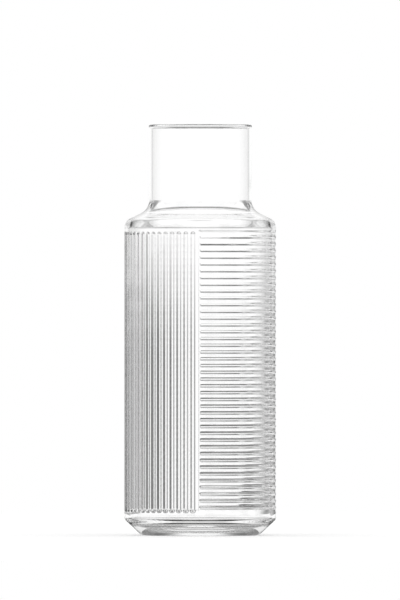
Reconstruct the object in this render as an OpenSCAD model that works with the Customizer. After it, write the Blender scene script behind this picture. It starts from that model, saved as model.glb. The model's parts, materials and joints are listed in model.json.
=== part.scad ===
// Water carafe of clear moulded glass, one litre, standing on its base.
// Origin at the centre of the base, +Z up, front towards -Y.
// The wall is fluted upright on the left half, -X, and ringed level on the right half, +X.

/* [Whole carafe] */
// Height from the table to the top of the rim
carafe_h = 248; // [180:1:300]

/* [Body] */
// Outside diameter of the body
body_d = 91.6; // [84:0.2:110]
// Thickness of the body wall
body_wall = 3; // [2.4:0.1:4]

/* [Shoulder] */
// Slope of the shoulder below level, in degrees
shoulder_deg = 26.6; // [20:0.2:34]
// Thickness of the shoulder, square to its slope
shoulder_wall = 2.8; // [2.2:0.1:3.6]
// Radius of the outer corner between wall and shoulder
shoulder_r = 5.5; // [4:0.25:7]
// Radius of the same corner inside
shoulder_inner_r = 6; // [2:0.25:7]

/* [Neck and rim] */
// Outside diameter of the neck
neck_d = 62; // [54:0.5:70]
// Height from the sharp corner between shoulder and neck to the top of the rim
neck_h = 51; // [20:0.5:70]
// Thickness of the neck wall
neck_wall = 2.2; // [1.8:0.1:3]
// Outer radius where the shoulder runs up into the neck
neck_blend_r = 8.5; // [5:0.5:11]
// How far the fire-polished rim stands out from the neck
rim_proud = 0.3; // [0.1:0.05:0.6]
// Height of the rim band, down to where the plain neck begins
rim_band = 4; // [3:0.25:6]

/* [Base] */
// Diameter of the foot where the bevel would meet the table
foot_d = 71; // [62:0.5:78]
// Height of the bevel round the foot
bevel_h = 9.6; // [6:0.2:12]
// Radius of the corner between bevel and wall
bevel_top_r = 3; // [1:0.25:5]
// Radius of the corner between bevel and foot
bevel_foot_r = 1.2; // [0.4:0.1:2]
// Thickness of the floor of the carafe
floor_t = 6; // [4:0.25:8]
// Radius between the floor and the wall, inside
floor_corner_r = 6.5; // [4:0.25:7]
// Height of the base, up to where the grooved walls begin
base_h = 13.1; // [12.8:0.1:20]
// Diameter of the shallow hollow under the foot
hollow_d = 54; // [40:1:58]
// Depth of that hollow at its centre
hollow_depth = 0.8; // [0.4:0.1:1.5]

/* [Flutes on the left half] */
// Spacing of the upright grooves round the wall, kept as near as whole grooves allow
flute_spacing = 4.3; // [3.8:0.1:8]
// Distance along the wall from the middle seam to the first groove's centre
flute_margin = 2.92; // [2.2:0.02:6]
// Height from the base to the centre of a groove's lower round end
flute_foot = 2.6; // [2.2:0.1:8]
// Distance from the shoulder's seam down to the centre of its upper round end
flute_drop = 4.6; // [2.2:0.1:10]

/* [Rings on the right half] */
// Spacing of the level grooves up the wall, kept as near as whole grooves allow
ring_spacing = 4.08; // [3.8:0.01:8]
// Distance along the wall from the middle seam to the grooves' ends
ring_margin = 1.1; // [0.4:0.1:4]
// Height from the base to the centre of the lowest groove
ring_foot = 1.9; // [1.9:0.1:8]
// Distance from the shoulder's seam down to the centre of the highest groove
ring_drop = 3.8; // [1.9:0.1:10]
// How far the crests between the level grooves lie below the plain wall
crest_drop = 0.04; // [0.02:0.02:0.1]

/* [Groove section] */
// Width of a groove between its edges
groove_w = 2.3; // [1.8:0.05:2.4]
// Depth of a groove at its middle
groove_depth = 0.4; // [0.36:0.02:0.5]

/* [Hidden] */
$fn = 96;

// Colour of the clear glass and how much of it shows
GLASS = "lightcyan";
glass_share = 0.55;
// How far a cut runs past what it cuts
overrun = 2;
// Plain wall left between a seam and the nearest rounding
seam_land = 0.2;
// Step by which a level groove's round end lies inside the groove
end_step = 0.05;
// Facets of the wide, nearly flat hollow under the foot
HOLLOW_FACETS = 720;

body_r = body_d / 2;
neck_r = neck_d / 2;
foot_r = foot_d / 2;
bore_r = neck_r - neck_wall;
cavity_r = body_r - body_wall;

// Sharp corners of the shoulder with the neck and with the wall, outside and inside
neck_z = carafe_h - neck_h;
shoulder_z = neck_z - (body_r - neck_r) * tan(shoulder_deg);
shoulder_drop = shoulder_wall / cos(shoulder_deg);
cavity_shoulder_z = shoulder_z + body_wall * tan(shoulder_deg) - shoulder_drop;
cavity_neck_z = neck_z + neck_wall * tan(shoulder_deg) - shoulder_drop;
shoulder_turn = 90 - shoulder_deg;
neck_blend_inner_r = neck_blend_r + neck_wall;

// Rim, a full round on top of the neck wall
rim_r = (neck_wall + rim_proud) / 2;
rim_centre_r = bore_r + rim_r;
rim_centre_z = carafe_h - rim_r;

// Seams between the regions of the glass
wall_top = shoulder_z - corner_cut(shoulder_r, shoulder_turn) - seam_land;
blend_top = max(
    neck_z + corner_cut(neck_blend_r, shoulder_turn),
    cavity_neck_z + corner_cut(neck_blend_inner_r, shoulder_turn));
neck_foot = blend_top + seam_land;
rim_foot = carafe_h - rim_band;

// Groove section, an arc that sinks into the wall, and where its centre lies
groove_arc_r = (pow(groove_w / 2, 2) + pow(groove_depth, 2)) / (2 * groove_depth);
groove_centre_r = body_r - groove_depth + groove_arc_r;
groove_end_r = groove_arc_r - end_step;

flute_low_z = base_h + flute_foot;
flute_high_z = wall_top - flute_drop;
flute_edge_deg = arc_deg(flute_margin);
flute_steps = round((180 - 2 * flute_edge_deg) / arc_deg(flute_spacing));
flute_pitch_deg = (180 - 2 * flute_edge_deg) / flute_steps;
ring_reach_deg = 90 - arc_deg(ring_margin + groove_w / 2);
ring_low_z = base_h + ring_foot;
ring_high_z = wall_top - ring_drop;
ring_steps = round((ring_high_z - ring_low_z) / ring_spacing);
ring_pitch = (ring_high_z - ring_low_z) / ring_steps;

// Radius of the hollow's dome, from its width and depth
hollow_dome_r = (pow(hollow_d / 2, 2) + pow(hollow_depth, 2)) / (2 * hollow_depth);

// Length that a rounding takes from each side of a corner that turns by this angle
function corner_cut(radius, turn) = radius * tan(turn / 2);

// Angle round the axis of a length along the body's surface
function arc_deg(along) = along / body_r * 180 / PI;

// Unit vector from one point to another
function toward(from, to) = (to - from) / norm(to - from);

// Half the angle between the two sides that meet at a corner
function half_angle(before, at, after) =
    acos(toward(at, before) * toward(at, after)) / 2;

// Where a rounding leaves the side that runs from the corner to its neighbour
function tangent_point(at, neighbour, radius, half) =
    at + toward(at, neighbour) * radius / tan(half);

// Centre of a rounding
function arc_centre(before, at, after, radius, half) =
    at + toward([0, 0], toward(at, before) + toward(at, after)) * radius / sin(half);

// Above zero where an outline that runs anticlockwise turns left
function turn_side(before, at, after) =
    (at.x - before.x) * (after.y - at.y) - (at.y - before.y) * (after.x - at.x);

// A closed outline, run anticlockwise, with a true arc at each corner that has a radius
module rounded_outline(corners, radii) {
    last = len(corners);
    function before(i) = corners[(i + last - 1) % last];
    function after(i) = corners[(i + 1) % last];
    function half(i) = half_angle(before(i), corners[i], after(i));
    difference() {
        union() {
            polygon([
                for (i = [0 : last - 1])
                    each radii[i] == 0
                        ? [corners[i]]
                        : [
                            tangent_point(corners[i], before(i), radii[i], half(i)),
                            tangent_point(corners[i], after(i), radii[i], half(i))
                        ]
            ]);
            corner_discs(1);
        }
        corner_discs(-1);
    }

    module corner_discs(side)
        for (i = [0 : last - 1])
            if (radii[i] > 0 && turn_side(before(i), corners[i], after(i)) * side > 0)
                translate(arc_centre(before(i), corners[i], after(i), radii[i], half(i)))
                    circle(r = radii[i]);
}

// Half section of the glass with nothing hollow, from the axis outward
module outer_outline()
    rounded_outline(
        [
            [0, 0],
            [foot_r, 0],
            [body_r, bevel_h],
            [body_r, shoulder_z],
            [neck_r, neck_z],
            [neck_r, rim_centre_z],
            [0, rim_centre_z]
        ],
        [0, bevel_foot_r, bevel_top_r, shoulder_r, neck_blend_r, 0, 0]);

// Half section of the space inside, open past the rim
module cavity_outline()
    rounded_outline(
        [
            [0, floor_t],
            [cavity_r, floor_t],
            [cavity_r, cavity_shoulder_z],
            [bore_r, cavity_neck_z],
            [bore_r, carafe_h + overrun],
            [0, carafe_h + overrun]
        ],
        [0, floor_corner_r, shoulder_inner_r, neck_blend_inner_r, 0, 0]);

// The part of a half section between two heights
module between(low, high)
    intersection() {
        children();
        translate([0, low])
            square([body_r + overrun, high - low]);
    }

// Half section of the smooth glass between two heights
module glass_section(low, high)
    between(low, high)
        difference() {
            outer_outline();
            cavity_outline();
        }

// Half section of the body wall, with no groove in it
module plain_section()
    glass_section(base_h, wall_top);

// Turns a half section round the axis, from one angle to another
module sector(from, to)
    rotate([0, 0, from])
        rotate_extrude(angle = to - from)
            children();

// What one upright groove with round ends takes out of the wall, on the +X axis
module flute_cut()
    translate([groove_centre_r, 0, flute_low_z])
        rotate_extrude()
            intersection() {
                union() {
                    circle(r = groove_arc_r);
                    square([groove_arc_r, flute_high_z - flute_low_z]);
                    translate([0, flute_high_z - flute_low_z])
                        circle(r = groove_arc_r);
                }
                translate([0, -groove_arc_r - overrun])
                    square([
                        groove_arc_r + overrun,
                        flute_high_z - flute_low_z + 2 * (groove_arc_r + overrun)
                    ]);
            }

// Half section of the body wall with every level groove in it
module ringed_section()
    difference() {
        plain_section();
        for (i = [0 : ring_steps])
            translate([groove_centre_r, ring_low_z + i * ring_pitch])
                circle(r = groove_arc_r);
        translate([body_r - crest_drop, ring_low_z])
            square([crest_drop + overrun, ring_high_z - ring_low_z]);
    }

// What the round end of a level groove takes out, at an angle round the axis
module ring_end_cut(at_deg)
    rotate([0, 0, at_deg])
        translate([groove_centre_r, 0, 0])
            rotate([90, 0, 0])
                sphere(r = groove_end_r);

// Fire-polished lip and the top of the neck below it
module rim()
    color(GLASS, glass_share)
        rotate_extrude() {
            glass_section(rim_foot, rim_centre_z);
            translate([rim_centre_r, rim_centre_z])
                circle(r = rim_r);
        }

// Straight neck with its round bore
module neck()
    color(GLASS, glass_share)
        rotate_extrude()
            glass_section(neck_foot, rim_foot);

// Sloping shoulder, rounded into the wall and up into the neck
module shoulder()
    color(GLASS, glass_share)
        rotate_extrude()
            glass_section(wall_top, neck_foot);

// Left half of the body, with upright grooves
module fluted_wall()
    color(GLASS, glass_share)
        mirror([1, 0, 0])
            difference() {
                sector(-90, 90)
                    plain_section();
                for (i = [0 : flute_steps])
                    rotate([0, 0, flute_edge_deg + i * flute_pitch_deg - 90])
                        flute_cut();
            }

// Right half of the body, with level grooves
module ringed_wall()
    color(GLASS, glass_share)
        difference() {
            union() {
                sector(-ring_reach_deg, ring_reach_deg)
                    ringed_section();
                for (side = [-1, 1])
                    sector(
                        min(side * 90, side * ring_reach_deg),
                        max(side * 90, side * ring_reach_deg))
                        plain_section();
            }
            for (side = [-1, 1], i = [0 : ring_steps])
                translate([0, 0, ring_low_z + i * ring_pitch])
                    ring_end_cut(side * ring_reach_deg);
        }

// Thick base with its bevelled foot, rounded floor and shallow hollow underneath
module base()
    color(GLASS, glass_share)
        rotate_extrude()
            between(0, base_h)
                difference() {
                    outer_outline();
                    cavity_outline();
                    translate([0, hollow_depth - hollow_dome_r])
                        circle(r = hollow_dome_r, $fn = HOLLOW_FACETS);
                }

rim();
neck();
shoulder();
fluted_wall();
ringed_wall();
base();
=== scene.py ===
import json
import math

import bpy
import numpy as np
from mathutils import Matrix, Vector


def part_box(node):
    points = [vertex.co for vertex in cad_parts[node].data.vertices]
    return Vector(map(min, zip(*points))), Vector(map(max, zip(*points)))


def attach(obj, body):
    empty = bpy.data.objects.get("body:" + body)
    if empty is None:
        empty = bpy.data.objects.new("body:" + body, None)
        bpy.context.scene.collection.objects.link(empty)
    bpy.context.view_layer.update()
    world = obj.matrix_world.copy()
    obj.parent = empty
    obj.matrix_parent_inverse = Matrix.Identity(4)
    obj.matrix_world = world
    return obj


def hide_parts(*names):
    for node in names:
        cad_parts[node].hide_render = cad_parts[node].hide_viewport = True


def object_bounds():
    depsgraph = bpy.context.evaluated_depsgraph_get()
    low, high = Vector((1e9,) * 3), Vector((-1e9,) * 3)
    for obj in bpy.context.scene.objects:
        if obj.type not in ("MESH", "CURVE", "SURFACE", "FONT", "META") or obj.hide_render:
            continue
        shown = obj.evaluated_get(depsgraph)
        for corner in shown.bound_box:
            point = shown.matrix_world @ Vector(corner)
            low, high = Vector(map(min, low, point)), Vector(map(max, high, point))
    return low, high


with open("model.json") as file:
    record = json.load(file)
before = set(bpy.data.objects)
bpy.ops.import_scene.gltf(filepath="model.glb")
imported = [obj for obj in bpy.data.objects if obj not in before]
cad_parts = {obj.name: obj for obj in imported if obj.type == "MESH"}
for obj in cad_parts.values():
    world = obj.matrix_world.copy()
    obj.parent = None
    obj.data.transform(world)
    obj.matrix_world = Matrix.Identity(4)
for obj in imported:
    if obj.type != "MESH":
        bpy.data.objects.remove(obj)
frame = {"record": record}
cad_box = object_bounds()

# Sizes of the glass, in metres
MM = 0.001
FOOT_R = 35.5 * MM
BEVEL_H = 9.6 * MM
BEVEL_TOP_ROUND = 3 * MM
BEVEL_FOOT_ROUND = 1.2 * MM
HOLLOW_R = 27 * MM
HOLLOW_DEPTH = 0.8 * MM
BODY_WALL = 3 * MM
FLOOR_T = 6 * MM
FLOOR_ROUND = 3 * MM
SHOULDER_SLOPE = math.radians(26.6)
SHOULDER_WALL = 2.5 * MM
SHOULDER_ROUND = 5.5 * MM
SHOULDER_INNER_ROUND = 5 * MM
NECK_H = 51 * MM
NECK_ROUND = 8.5 * MM

# Upright flutes: grooves that swing smoothly down from the wall's surface. Going round the axis they
# are shallow up to one angle, behind, and full from another. FLUTE_MARGIN is from the seams, and
# FLUTE_FOOT and FLUTE_DROP are from the lower and upper end of the wall
FLUTE_DEPTH = 0.4 * MM
BACK_FLUTE_DEPTH = 0.03 * MM
BACK_FLUTES_END = math.radians(160)
FRONT_FLUTES_BEGIN = math.radians(178)
FLUTE_HALF_W = 2.15 * MM
FLUTE_SPACING = 4.3 * MM
FLUTE_MARGIN = 2.92 * MM
FLUTE_FOOT = 2.8 * MM
FLUTE_DROP = 4.6 * MM

# Level ribs with sunken land between them. Behind they start some radians from the seam and grow to
# their full height over some more. The lowest and highest valley between them have their middles
# at VALLEY_FOOT and VALLEY_DROP from the ends of the wall
RIB_HEIGHT = 0.33 * MM
RIB_HALF_W = 1.45 * MM
RIB_MARGIN = 0.7 * MM
BACK_RIBS_START = 0.4
BACK_RIBS_FADE = 0.7
RIB_SPACING = 4.08 * MM
VALLEY_FOOT = 1.9 * MM
VALLEY_DROP = 3.8 * MM

# Near a seam the land rises towards the plain wall. The full rise would take this width, and this
# share of it lies past the seam
SEAM_BLEND = 1.6 * MM
SEAM_SHARE = 0.25

# Plain strips beside the seams, and between the patterned wall and the smooth glass over and under it
SEAM_GAP = 0.15 * MM
WALL_SPARE = 0.19 * MM

# Sizes read from the frame
CARAFE_H = cad_box[1][2]
NECK_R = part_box("neck")[1].x
BODY_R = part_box("shoulder")[1].x
BASE_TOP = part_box("base")[1].z
WALL_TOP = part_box("fluted_wall")[1].z
RIM_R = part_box("rim")[1].x
BORE_R = frame["record"]["mounts"][0]["dims"]["r_mm"] * MM

# Width of the narrow face that softens a crease
CREASE = 0.02 * MM

# How finely the glass is cut into faces. HALF_STEPS is for half the width of a flute or rib
ARC_STEP = math.radians(6)
SMOOTH_COLUMNS = 288
HALF_STEPS = 7
PLAIN_RIB_STEP = math.radians(2)
PLAIN_FLUTE_STEP = 12 * MM

# Small amounts in the sums: the step that slopes are taken over, the decimals of a place, and a
# distance that stands for none
SLOPE_STEP = 1e-7
PLACE_DECIMALS = 9
NO_DISTANCE = 1e-9


# Outlines of the glass in half section

def unit(vector):
    """The same direction with a length of one."""
    return vector / np.linalg.norm(vector)


def rounded_profile(corners, rounds):
    """Points (r, z) and normals along an open outline that runs with the glass on its left."""
    corners = [np.array(c, float) for c in corners]
    points, normals = [], []

    def add(point, normal):
        points.append(point)
        normals.append(normal)

    for i, corner in enumerate(corners):
        come = unit(corner - corners[i - 1]) if i > 0 else None
        leave = unit(corners[i + 1] - corner) if i + 1 < len(corners) else None
        if come is None or leave is None:
            along = leave if come is None else come
            add(corner, np.array([along[1], -along[0]]))
            continue
        if rounds[i] == 0:
            add(corner, np.array([come[1], -come[0]]))
            add(corner, np.array([leave[1], -leave[0]]))
            continue
        turn = math.atan2(come[0] * leave[1] - come[1] * leave[0], come @ leave)
        side = math.copysign(1, turn)
        cut = rounds[i] * math.tan(abs(turn) / 2)
        start = corner - come * cut
        centre = start + side * rounds[i] * np.array([-come[1], come[0]])
        steps = max(2, math.ceil(abs(turn) / ARC_STEP))
        for k in range(steps + 1):
            angle = turn * k / steps
            out = -side * np.array([-come[1], come[0]])
            spoke = np.array([
                out[0] * math.cos(angle) - out[1] * math.sin(angle),
                out[0] * math.sin(angle) + out[1] * math.cos(angle)])
            add(centre + rounds[i] * spoke, side * spoke)
    return points, normals


def arc(centre, radius, start, end):
    """Points and outward normals along an arc, from one angle to another."""
    steps = max(2, math.ceil(abs(end - start) / ARC_STEP))
    angles = [start + (end - start) * k / steps for k in range(steps + 1)]
    spokes = [np.array([math.cos(a), math.sin(a)]) for a in angles]
    return [np.array(centre) + radius * s for s in spokes], spokes


def glass_outline():
    """The outline below the relief, and the one above it over the rim and down to the inner floor."""
    neck_z = CARAFE_H - NECK_H
    slope = math.tan(SHOULDER_SLOPE)
    shoulder_z = neck_z - (BODY_R - NECK_R) * slope
    drop = SHOULDER_WALL / math.cos(SHOULDER_SLOPE)
    cavity_r = BODY_R - BODY_WALL
    neck_wall = NECK_R - BORE_R
    rim_round = (RIM_R - BORE_R) / 2
    rim_centre = (BORE_R + rim_round, CARAFE_H - rim_round)
    bead_angle = math.acos((NECK_R - rim_centre[0]) / rim_round)
    bead_foot = rim_centre[1] - rim_round * math.sin(bead_angle)
    dome_r = (HOLLOW_R ** 2 + HOLLOW_DEPTH ** 2) / (2 * HOLLOW_DEPTH)
    dome_half = math.asin(HOLLOW_R / dome_r)

    dome_points, dome_spokes = arc(
        (0, HOLLOW_DEPTH - dome_r), dome_r, math.pi / 2, math.pi / 2 - dome_half)
    foot_points, foot_normals = rounded_profile(
        [(HOLLOW_R + CREASE, 0), (FOOT_R, 0), (BODY_R, BEVEL_H), (BODY_R, BASE_TOP - WALL_SPARE)],
        [0, BEVEL_FOOT_ROUND, BEVEL_TOP_ROUND, 0])
    below = (
        dome_points[1:] + foot_points,
        [-s for s in dome_spokes[1:]] + foot_normals)

    over_points, over_normals = rounded_profile(
        [
            (BODY_R, WALL_TOP + WALL_SPARE),
            (BODY_R, shoulder_z),
            (NECK_R, neck_z),
            (NECK_R, bead_foot - CREASE)
        ],
        [0, SHOULDER_ROUND, NECK_ROUND, 0])
    rim_points, rim_normals = arc(rim_centre, rim_round, -bead_angle, math.pi)
    in_points, in_normals = rounded_profile(
        [
            (BORE_R, rim_centre[1]),
            (BORE_R, neck_z + neck_wall * slope - drop),
            (cavity_r, shoulder_z + BODY_WALL * slope - drop),
            (cavity_r, FLOOR_T),
            (0, FLOOR_T)
        ],
        [0, NECK_ROUND + neck_wall, SHOULDER_INNER_ROUND, FLOOR_ROUND, 0])
    above = (
        over_points + rim_points + in_points[1:-1],
        over_normals + rim_normals + in_normals[1:-1])
    return below, above


# The flutes and ribs

def relief_layout():
    """Heights of the ribs, angles of the flutes and where each kind ends."""
    low = BASE_TOP + VALLEY_FOOT
    high = WALL_TOP - VALLEY_DROP
    steps = round((high - low) / RIB_SPACING)
    pitch = (high - low) / steps
    rib_z = [low + pitch * (i + 0.5) for i in range(steps + 1)]
    edge = FLUTE_MARGIN / BODY_R
    turns = round((math.pi - 2 * edge) / (FLUTE_SPACING / BODY_R))
    flute_at = [
        math.pi / 2 + edge + (math.pi - 2 * edge) * i / turns for i in range(turns + 1)]
    reach = math.pi / 2 - (RIB_MARGIN + RIB_HALF_W) / BODY_R
    return rib_z, flute_at, (BASE_TOP + FLUTE_FOOT, WALL_TOP - FLUTE_DROP), reach


def flute_depths(flute_at):
    """Depth of each flute: full in front, shallow behind, with one between them at the side."""
    share = (np.array(flute_at) - BACK_FLUTES_END) / (FRONT_FLUTES_BEGIN - BACK_FLUTES_END)
    return BACK_FLUTE_DEPTH + (FLUTE_DEPTH - BACK_FLUTE_DEPTH) * np.clip(share, 0, 1)


def smooth(share):
    """Eases a share between zero and one."""
    share = np.clip(share, 0, 1)
    return share * share * (3 - 2 * share)


def rib_height(theta):
    """Height of the ribs: full, but none behind near the seam."""
    return RIB_HEIGHT * smooth((math.pi / 2 - BACK_RIBS_START - theta) / BACK_RIBS_FADE)


def land_share(theta, z, top_rib):
    """Share of its depth that the land between the ribs has at a place, and the share's slopes."""
    def share(angle, height):
        aside = (math.pi / 2 - np.abs(angle)) * BODY_R
        across = smooth(aside / SEAM_BLEND + SEAM_SHARE)
        up = smooth((height - BASE_TOP) / RIB_HALF_W)
        down = np.where(height > top_rib, 0.0, 1.0)
        return across * up * down

    here = share(theta, z)
    round_slope = (share(theta + SLOPE_STEP / BODY_R, z) - here) / SLOPE_STEP
    up_slope = (share(theta, z + SLOPE_STEP) - here) / SLOPE_STEP
    return here, round_slope, up_slope


def dip(distance, half_w, depth):
    """Height of the surface in a groove and its slope, at a distance from its middle line."""
    phase = math.pi * np.clip(distance / half_w, 0, 1)
    height = -depth * (1 + np.cos(phase)) / 2
    return height, depth * math.pi / half_w * np.sin(phase) / 2


def relief(across, along, half_w, depth):
    """Height, and slope across and along, from distances past a groove's middle line and ends."""
    distance = np.hypot(across, along)
    height, slope = dip(distance, half_w, depth)
    safe = np.maximum(distance, NO_DISTANCE)
    return height, slope * across / safe, slope * along / safe


def spot(value):
    """A place rounded so that two that agree are counted as one."""
    return round(value, PLACE_DECIMALS)


def stations_across(centres, half_w, low, high):
    """Places across a row of flutes or ribs, evenly spaced over each."""
    spots = {spot(low), spot(high)}
    for c in centres:
        for k in range(-HALF_STEPS, HALF_STEPS + 1):
            spots.add(spot(c + half_w * k / HALF_STEPS))
    return sorted(s for s in spots if low <= s <= high)


def stations_along(low_end, high_end, half_w, low, high, plain):
    """Places along flutes or ribs, close together in the round ends past low_end and high_end."""
    spots = {spot(low), spot(high)}
    for k in range(HALF_STEPS + 1):
        spots.add(spot(low_end - half_w * k / HALF_STEPS))
        spots.add(spot(high_end + half_w * k / HALF_STEPS))
    count = max(2, round((high_end - low_end) / plain))
    for k in range(1, count):
        spots.add(spot(low_end + (high_end - low_end) * k / count))
    return sorted(s for s in spots if low <= s <= high)


# Building the mesh

class Glass:
    """Collects vertices with their true normals, and the faces between them."""

    def __init__(self):
        self.points, self.normals, self.faces = [], [], []

    def add(self, points, normals):
        """Takes in some vertices and returns their numbers."""
        start = sum(len(p) for p in self.points)
        self.points.append(np.asarray(points, float))
        self.normals.append(np.asarray(normals, float))
        return list(range(start, start + len(points)))

    def ring(self, radius, z, normal_r, normal_z, angles):
        """A level ring of vertices round the axis."""
        c, s = np.cos(angles), np.sin(angles)
        ones = np.ones(len(angles))
        return self.add(
            np.stack([radius * c, radius * s, z * ones], 1),
            np.stack([normal_r * c, normal_r * s, normal_z * ones], 1))

    def quads(self, lower, upper, closed=True):
        """Faces with four corners between two rows of the same count."""
        count = len(lower)
        for i in range(count if closed else count - 1):
            j = (i + 1) % count
            self.faces.append((lower[i], lower[j], upper[j], upper[i]))

    def zip(self, first, first_at, second, second_at, closed):
        """Triangles between two rows of different counts, sorted along the same measure."""
        turn = 2 * math.pi
        a, b = list(first), list(second)
        at_a, at_b = list(first_at), list(second_at)
        if closed:
            a, at_a = a + [a[0]], at_a + [at_a[0] + turn]
            b, at_b = b + [b[0]], at_b + [at_b[0] + turn]
        i = j = 0
        while i + 1 < len(a) or j + 1 < len(b):
            step_a = j + 1 == len(b) or (
                i + 1 < len(a) and at_a[i] + at_a[i + 1] <= at_b[j] + at_b[j + 1])
            if step_a:
                self.faces.append((a[i], a[i + 1], b[j]))
                i += 1
            else:
                self.faces.append((a[i], b[j + 1], b[j]))
                j += 1

    def cap(self, ring, z, up):
        """Closes a ring with triangles to a vertex on the axis."""
        centre = self.add([(0, 0, z)], [(0, 0, 1 if up else -1)])[0]
        for i in range(len(ring)):
            j = (i + 1) % len(ring)
            face = (ring[i], ring[j], centre) if up else (ring[j], ring[i], centre)
            self.faces.append(face)

    def wall(self, angles, heights, height_of):
        """A grid of the wall with its relief, as rows of vertex numbers from the foot up."""
        theta, z = np.meshgrid(angles, heights)
        bump, slope_round, slope_up = height_of(theta, z)
        radius = BODY_R + bump
        c, s = np.cos(theta), np.sin(theta)
        lean = slope_round * BODY_R / radius
        normal = np.stack([c + lean * s, s - lean * c, -slope_up], -1)
        normal /= np.linalg.norm(normal, axis=-1, keepdims=True)
        points = np.stack([radius * c, radius * s, z], -1)
        numbers = self.add(points.reshape(-1, 3), normal.reshape(-1, 3))
        width = len(angles)
        return [numbers[k * width:(k + 1) * width] for k in range(len(heights))]

    def mesh(self, name):
        """The mesh of all that was collected."""
        data = bpy.data.meshes.new(name)
        points = np.concatenate(self.points)
        data.from_pydata(points.tolist(), [], self.faces)
        data.polygons.foreach_set("use_smooth", [True] * len(data.polygons))
        data.validate()
        data.normals_split_custom_set_from_vertices(np.concatenate(self.normals).tolist())
        data.update()
        return data


def nearest(values, centres):
    """Which of some centres each value is nearest to, and its distance from it with its sign."""
    centres = np.array(centres)
    index = np.abs(values[..., None] - centres).argmin(-1)
    return index, values - centres[index]


def past_ends(values, low, high):
    """How far each value lies past a stretch, with its sign, or zero inside it."""
    return np.where(values < low, values - low, np.where(values > high, values - high, 0))


def patterned_wall(glass):
    """Both halves of the wall, joined at the seams: their lowest and highest row, and its angles."""
    rib_z, flute_at, (flute_low, flute_high), reach = relief_layout()
    depths = flute_depths(flute_at)
    per_metre = 1 / BODY_R

    def fluted(theta, z):
        index, across = nearest(theta, flute_at)
        along = past_ends(z, flute_low, flute_high)
        return relief(across * BODY_R, along, FLUTE_HALF_W, depths[index])

    def ribbed(theta, z):
        across = nearest(z, rib_z)[1]
        along = past_ends(theta, -reach, reach) * BODY_R
        full = rib_height(theta)
        groove, groove_up, groove_round = relief(across, along, RIB_HALF_W, 1)
        land, land_round, land_up = land_share(theta, z, rib_z[-1])
        # zero on the crest of a rib, one on the land beside it
        sunk = 1 + groove
        height = -full * land * sunk
        slope_up = -full * (land * groove_up + land_up * sunk)
        slope_round = -full * (land * groove_round + land_round * sunk)
        return height, slope_round, slope_up

    gap = SEAM_GAP * per_metre
    flute_angles = stations_across(
        flute_at, FLUTE_HALF_W * per_metre, math.pi / 2 + gap, 3 * math.pi / 2 - gap)
    flute_heights = stations_along(
        flute_low, flute_high, FLUTE_HALF_W, BASE_TOP, WALL_TOP, PLAIN_FLUTE_STEP)
    rib_angles = stations_along(
        -reach, reach, RIB_HALF_W * per_metre, -math.pi / 2 + gap, math.pi / 2 - gap,
        PLAIN_RIB_STEP)
    rib_heights = stations_across(rib_z, RIB_HALF_W, BASE_TOP, WALL_TOP)

    left = glass.wall(flute_angles, flute_heights, fluted)
    right = glass.wall(rib_angles, rib_heights, ribbed)
    for lower, upper in list(zip(left, left[1:])) + list(zip(right, right[1:])):
        glass.quads(lower, upper, closed=False)
    back_left, back_right = [row[0] for row in left], [row[-1] for row in right]
    front_left, front_right = [row[-1] for row in left], [row[0] for row in right]
    glass.zip(back_left, flute_heights, back_right, rib_heights, closed=False)
    glass.zip(front_right, rib_heights, front_left, flute_heights, closed=False)
    return right[0] + left[0], right[-1] + left[-1], rib_angles + flute_angles


def turned_glass(glass, outline, angles):
    """An outline turned round the axis: the rings of its points, with faces between them."""
    rings = [glass.ring(*p, *n, angles) for p, n in zip(*outline)]
    for lower, upper in zip(rings, rings[1:]):
        glass.quads(lower, upper)
    return rings


def carafe_glass():
    """The one closed mesh: the patterned wall and the turned glass below and above it."""
    glass = Glass()
    foot_row, top_row, wall_angles = patterned_wall(glass)
    smooth_angles = [
        wall_angles[0] + 2 * math.pi * k / SMOOTH_COLUMNS for k in range(SMOOTH_COLUMNS)]
    below, above = glass_outline()

    rings = turned_glass(glass, below, smooth_angles)
    glass.cap(rings[0], HOLLOW_DEPTH, up=False)
    glass.zip(rings[-1], smooth_angles, foot_row, wall_angles, closed=True)

    rings = turned_glass(glass, above, smooth_angles)
    glass.zip(top_row, wall_angles, rings[0], smooth_angles, closed=True)
    glass.cap(rings[-1], FLOOR_T, up=True)
    return glass.mesh("carafe_glass")


# Materials

GLASS_IOR = 1.5
GLASS_DEPTH_COLOUR = (0.5, 0.5, 0.5, 1)
GLASS_DEPTH_DENSITY = 4.0
# slow waves that pressing and fire-polishing leave in the surface, in waves to the metre
WAVE_SCALE = 45.0
WAVE_DETAIL = 1.0
WAVE_DEPTH = 0.03 * MM
WAVE_STRENGTH = 1.0
# fine scuffs on the ring that the carafe stands on, up to this height
SCUFF_SCALE = 900.0
SCUFF_DETAIL = 3.0
SCUFF_ROUGHNESS = 0.35
SCUFF_TOP = 0.3 * MM


def shader_nodes(owner):
    """The empty node tree of a material or world."""
    owner.use_nodes = True
    tree = owner.node_tree
    tree.nodes.clear()
    return tree


def link(tree, source, target):
    tree.links.new(source, target)


def maths(tree, operation, *values, clamp=False):
    """The result of a sum on numbers and sockets."""
    node = tree.nodes.new("ShaderNodeMath")
    node.operation = operation
    node.use_clamp = clamp
    for socket, value in zip(node.inputs, values):
        if isinstance(value, (int, float)):
            socket.default_value = value
        else:
            link(tree, value, socket)
    return node.outputs[0]


def noise(tree, scale, detail):
    """Noise between zero and one, fixed to the carafe, and the place it is read at."""
    place = tree.nodes.new("ShaderNodeTexCoord")
    node = tree.nodes.new("ShaderNodeTexNoise")
    node.inputs["Scale"].default_value = scale
    node.inputs["Detail"].default_value = detail
    link(tree, place.outputs["Object"], node.inputs["Vector"])
    return node.outputs["Fac"], place.outputs["Object"]


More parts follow.
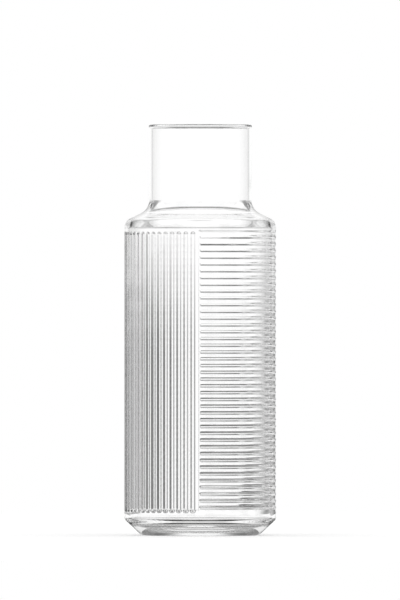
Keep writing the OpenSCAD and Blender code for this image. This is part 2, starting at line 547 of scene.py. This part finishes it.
def slow_waves(tree):
    """Normals of a surface that isn't quite even."""
    bump = tree.nodes.new("ShaderNodeBump")
    bump.inputs["Strength"].default_value = WAVE_STRENGTH
    bump.inputs["Distance"].default_value = WAVE_DEPTH
    link(tree, noise(tree, WAVE_SCALE, WAVE_DETAIL)[0], bump.inputs["Height"])
    return bump.outputs[0]


def foot_scuffs(tree):
    """Roughness: none on the polished glass, uneven under the foot."""
    grain, place = noise(tree, SCUFF_SCALE, SCUFF_DETAIL)
    split = tree.nodes.new("ShaderNodeSeparateXYZ")
    link(tree, place, split.inputs[0])
    under = maths(tree, "LESS_THAN", split.outputs[2], SCUFF_TOP)
    return maths(tree, "MULTIPLY", maths(tree, "MULTIPLY", under, SCUFF_ROUGHNESS), grain)


def clear_glass():
    """Clear glass that grows slightly grey with depth."""
    material = bpy.data.materials.new("clear_glass")
    tree = shader_nodes(material)
    shader = tree.nodes.new("ShaderNodeBsdfPrincipled")
    shader.inputs["Base Color"].default_value = (1, 1, 1, 1)
    shader.inputs["IOR"].default_value = GLASS_IOR
    shader.inputs["Transmission Weight"].default_value = 1
    link(tree, slow_waves(tree), shader.inputs["Normal"])
    link(tree, foot_scuffs(tree), shader.inputs["Roughness"])
    depth = tree.nodes.new("ShaderNodeVolumeAbsorption")
    depth.inputs["Color"].default_value = GLASS_DEPTH_COLOUR
    depth.inputs["Density"].default_value = GLASS_DEPTH_DENSITY
    out = tree.nodes.new("ShaderNodeOutputMaterial")
    link(tree, shader.outputs[0], out.inputs["Surface"])
    link(tree, depth.outputs[0], out.inputs["Volume"])
    return material


# The carafe

carafe = bpy.data.objects.new("carafe_glass", carafe_glass())
bpy.context.scene.collection.objects.link(carafe)
carafe.data.materials.append(clear_glass())
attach(carafe, "root")
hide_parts("rim", "neck", "shoulder", "fluted_wall", "ringed_wall", "base")


# Floor, light and camera

# Where the carafe stands in the photo, in its pixels
IMAGE_W, IMAGE_H = 400, 600
PHOTO_CENTRE_X, PHOTO_TOP_Y, PHOTO_FOOT_Y = 200.3, 124.7, 535.2

CAMERA_DISTANCE = 10.0
CAMERA_HEIGHT = 142 * MM
CAMERA_TURN = math.radians(1.95)
CAMERA_REACH = 100.0
SENSOR = 36.0
LIGHT_BOUNCES = 32

FLOOR_R = 1.0
FLOOR_COLOUR = 0.65
FLOOR_LIFT = 0.4
FLOOR_STEPS = 96

# What the glass sees of the studio: levels of white, as a share of SEEN_WHITE. They repeat for each
# of the four straight views
GLASS_RAYS = ["Is Glossy Ray", "Is Transmission Ray"]
SEEN_WHITE = 1.08
# along a band just below the horizon, from straight ahead (0 degrees) to halfway round to the next
# view (45)
HORIZON_LEVELS = [
    (0, 1.0), (5.5, 1.0), (7, 0.65), (8.5, 0.25), (12, 0.12), (20, 0.15), (26, 0.5),
    (34, 0.5), (38, 0.2), (42.5, 0.9), (45, 0.9)]
# upwards in degrees: in line with the views, beside them and towards the corners
CENTRE_LEVELS = [
    (-4, 1.0), (3.4, 1.0), (4.4, 0.4), (5.6, 0.4), (6.4, 0.9), (8.6, 0.9), (9.3, 0.05),
    (19, 0.05), (22, 0.65), (33, 0.85), (36, 1.0)]
SIDE_LEVELS = [
    (-4, 1.0), (3.6, 0.9), (4.6, 0.3), (6, 0.4), (7, 0.65), (13, 0.75), (20, 0.9), (22, 1.0),
    (36, 1.0)]
CORNER_LEVELS = [
    (-4, 1.0), (1, 0.6), (3, 0.05), (19, 0.05), (22, 0.28), (33, 0.28), (36, 1.0)]
# where the views give way to the parts beside them and these to the corners, in degrees aside
CENTRE_END = (3, 5)
CORNER_START = (29, 32)
# where the band begins, over plain white, and where it gives way to the levels upwards, in degrees
LOW_START = (-3.6, -2.8)
HORIZON_END = (-0.2, 0.4)
# painted light and shade on the floor, outwards in metres from the axis: a painted dark ring from
# about 0.15 to 0.6 m
FLOOR_PAINTED_LEVELS = [
    (0, 1.0), (0.12, 1.0), (0.15, 0.2), (0.27, 0.2), (0.31, 0.12), (0.6, 0.12), (0.7, 0.8),
    (1, 0.95)]
# painted shade on the floor close to the carafe beside the views; degrees aside where this and the
# white floor farther off come in; and metres from the axis where the close part begins and ends
NEAR_PAINTED_SHADE = 0.2
NEAR_START = (8, 20)
FAR_START = (16, 22)
NEAR_BEGIN = (0.022, 0.032)
NEAR_END = (0.12, 0.15)
# shade under the bevel, in metres from the axis
BEVEL_SHADE = [(0, 1.0), (0.035, 1.0), (0.038, 0.3), (0.052, 0.3), (0.06, 1.0), (0.1, 1.0)]


def ray_share(tree, names):
    """One for rays of the named kinds, zero for all others."""
    path = tree.nodes.new("ShaderNodeLightPath")
    total = path.outputs[names[0]]
    for name in names[1:]:
        total = maths(tree, "ADD", total, path.outputs[name], clamp=True)
    return total


def ease(tree, value, start, end):
    """A smooth rise from zero at start to one at end."""
    node = tree.nodes.new("ShaderNodeMapRange")
    node.interpolation_type = "SMOOTHSTEP"
    link(tree, value, node.inputs["Value"])
    node.inputs["From Min"].default_value = start
    node.inputs["From Max"].default_value = end
    return node.outputs[0]


def levels(tree, value, stops):
    """The level at a value, read from a list of (value, level) stops."""
    first, last = stops[0][0], stops[-1][0]
    share = maths(tree, "DIVIDE", maths(tree, "SUBTRACT", value, first), last - first, clamp=True)
    node = tree.nodes.new("ShaderNodeValToRGB")
    ramp = node.color_ramp
    while len(ramp.elements) < len(stops):
        # at any place, since all are moved below
        ramp.elements.new(0.5)
    for element, (place, level) in zip(ramp.elements, stops):
        element.position = (place - first) / (last - first)
        element.color = (level, level, level, 1)
    link(tree, share, node.inputs[0])
    return node.outputs[0]


def blend(tree, share, low, high):
    """Between two values: low at a share of zero, high at one."""
    rise = maths(tree, "SUBTRACT", high, low)
    return maths(tree, "ADD", low, maths(tree, "MULTIPLY", share, rise))


def degrees_aside(tree, x, y):
    """Degrees from the nearest of the four straight views, which are set square to the camera."""
    azimuth = maths(tree, "ADD", maths(tree, "ARCTAN2", x, y), CAMERA_TURN)
    return maths(tree, "DEGREES", maths(tree, "PINGPONG", azimuth, math.pi / 4))


def stage_piece(name, vertices, faces, material):
    """A piece of the studio, which isn't part of the carafe."""
    data = bpy.data.meshes.new(name)
    data.from_pydata(vertices, [], faces)
    data.materials.append(material)
    piece = bpy.data.objects.new(name, data)
    bpy.context.scene.collection.objects.link(piece)


def circle(radius, z):
    """Corners of a level circle, with the floor's number of steps."""
    return [
        (radius * math.cos(a), radius * math.sin(a), z)
        for a in (2 * math.pi * k / FLOOR_STEPS for k in range(FLOOR_STEPS))]


def plain_floor(tree):
    """A pale surface that keeps the shadow of the glass, lifted to white for the camera."""
    diffuse = tree.nodes.new("ShaderNodeBsdfDiffuse")
    diffuse.inputs["Color"].default_value = (FLOOR_COLOUR, FLOOR_COLOUR, FLOOR_COLOUR, 1)
    lift = tree.nodes.new("ShaderNodeEmission")
    seen_plainly = ray_share(tree, ["Is Camera Ray"])
    link(tree, maths(tree, "MULTIPLY", seen_plainly, FLOOR_LIFT), lift.inputs["Strength"])
    both = tree.nodes.new("ShaderNodeAddShader")
    link(tree, diffuse.outputs[0], both.inputs[0])
    link(tree, lift.outputs[0], both.inputs[1])
    return both.outputs[0]


def painted_floor_for_glass(tree):
    """The floor as the glass sees it: a glow of painted light and shade, by place."""
    place = tree.nodes.new("ShaderNodeTexCoord")
    length = tree.nodes.new("ShaderNodeVectorMath")
    length.operation = "LENGTH"
    link(tree, place.outputs["Object"], length.inputs[0])
    outward = length.outputs["Value"]
    split = tree.nodes.new("ShaderNodeSeparateXYZ")
    link(tree, place.outputs["Object"], split.inputs[0])
    aside = degrees_aside(tree, split.outputs[0], split.outputs[1])
    # painted light and shade on the floor by distance from the axis
    ahead = levels(tree, outward, FLOOR_PAINTED_LEVELS)
    # painted shade on the floor close to the carafe, beside the views
    near = blend(tree, ease(tree, aside, *NEAR_START), ahead, NEAR_PAINTED_SHADE)
    near = blend(tree, ease(tree, outward, *NEAR_BEGIN), 1.0, near)
    near = maths(tree, "MULTIPLY", near, levels(tree, outward, BEVEL_SHADE))
    far = blend(tree, ease(tree, aside, *FAR_START), ahead, 1.0)
    level = blend(tree, ease(tree, outward, *NEAR_END), near, far)
    # the floor glows with this painted light and shade, which the glass alone sees
    glow = tree.nodes.new("ShaderNodeEmission")
    link(tree, maths(tree, "MULTIPLY", level, SEEN_WHITE), glow.inputs["Strength"])
    return glow.outputs[0]


def white_floor():
    """A round white floor, which shows painted light and shade of its own through the glass."""
    material = bpy.data.materials.new("white_floor")
    tree = shader_nodes(material)
    mix = tree.nodes.new("ShaderNodeMixShader")
    link(tree, ray_share(tree, GLASS_RAYS), mix.inputs[0])
    link(tree, plain_floor(tree), mix.inputs[1])
    link(tree, painted_floor_for_glass(tree), mix.inputs[2])
    out = tree.nodes.new("ShaderNodeOutputMaterial")
    link(tree, mix.outputs[0], out.inputs["Surface"])
    stage_piece("floor", circle(FLOOR_R, 0), [tuple(range(FLOOR_STEPS))], material)


def studio_world():
    """White all round; the glass alone also sees the studio's dark parts, which shape its lines."""
    world = bpy.data.worlds.new("studio")
    bpy.context.scene.world = world
    tree = shader_nodes(world)
    place = tree.nodes.new("ShaderNodeTexCoord")
    split = tree.nodes.new("ShaderNodeSeparateXYZ")
    link(tree, place.outputs["Generated"], split.inputs[0])
    aside = degrees_aside(tree, split.outputs[0], split.outputs[1])
    upward = maths(tree, "DEGREES", maths(tree, "ARCSINE", split.outputs[2]))
    centre = levels(tree, upward, CENTRE_LEVELS)
    side = levels(tree, upward, SIDE_LEVELS)
    corner = levels(tree, upward, CORNER_LEVELS)
    up_level = blend(tree, ease(tree, aside, *CENTRE_END), centre, side)
    up_level = blend(tree, ease(tree, aside, *CORNER_START), up_level, corner)
    horizon = levels(tree, aside, HORIZON_LEVELS)
    low_level = blend(tree, ease(tree, upward, *LOW_START), 1.0, horizon)
    level = blend(tree, ease(tree, upward, *HORIZON_END), low_level, up_level)
    level = maths(tree, "MULTIPLY", level, SEEN_WHITE)
    glow = tree.nodes.new("ShaderNodeBackground")
    glow.inputs["Color"].default_value = (1, 1, 1, 1)
    link(tree, blend(tree, ray_share(tree, GLASS_RAYS), 1.0, level), glow.inputs["Strength"])
    out = tree.nodes.new("ShaderNodeOutputWorld")
    link(tree, glow.outputs[0], out.inputs["Surface"])


def camera():
    """A far camera, turned so that the seam lies as in the photo, with the photo's frame."""
    data = bpy.data.cameras.new("camera")
    view = bpy.data.objects.new("camera", data)
    bpy.context.scene.collection.objects.link(view)
    bpy.context.scene.camera = view
    pixels_per_metre = (PHOTO_FOOT_Y - PHOTO_TOP_Y) / CARAFE_H
    data.sensor_fit = "VERTICAL"
    data.sensor_height = SENSOR
    data.lens = CAMERA_DISTANCE * pixels_per_metre * SENSOR / IMAGE_H
    data.clip_end = CAMERA_REACH
    view.location = (
        CAMERA_DISTANCE * math.sin(CAMERA_TURN),
        -CAMERA_DISTANCE * math.cos(CAMERA_TURN),
        CAMERA_HEIGHT)
    view.rotation_euler = (math.pi / 2, 0, CAMERA_TURN)
    centre_z = (PHOTO_FOOT_Y - IMAGE_H / 2) / pixels_per_metre
    data.shift_y = (centre_z - CAMERA_HEIGHT) * pixels_per_metre / IMAGE_H
    data.shift_x = (IMAGE_W / 2 - PHOTO_CENTRE_X) / IMAGE_H


white_floor()
studio_world()
camera()
bpy.context.scene.view_settings.view_transform = "Standard"
for kind in ("max_bounces", "glossy_bounces", "transmission_bounces"):
    setattr(bpy.context.scene.cycles, kind, LIGHT_BOUNCES)
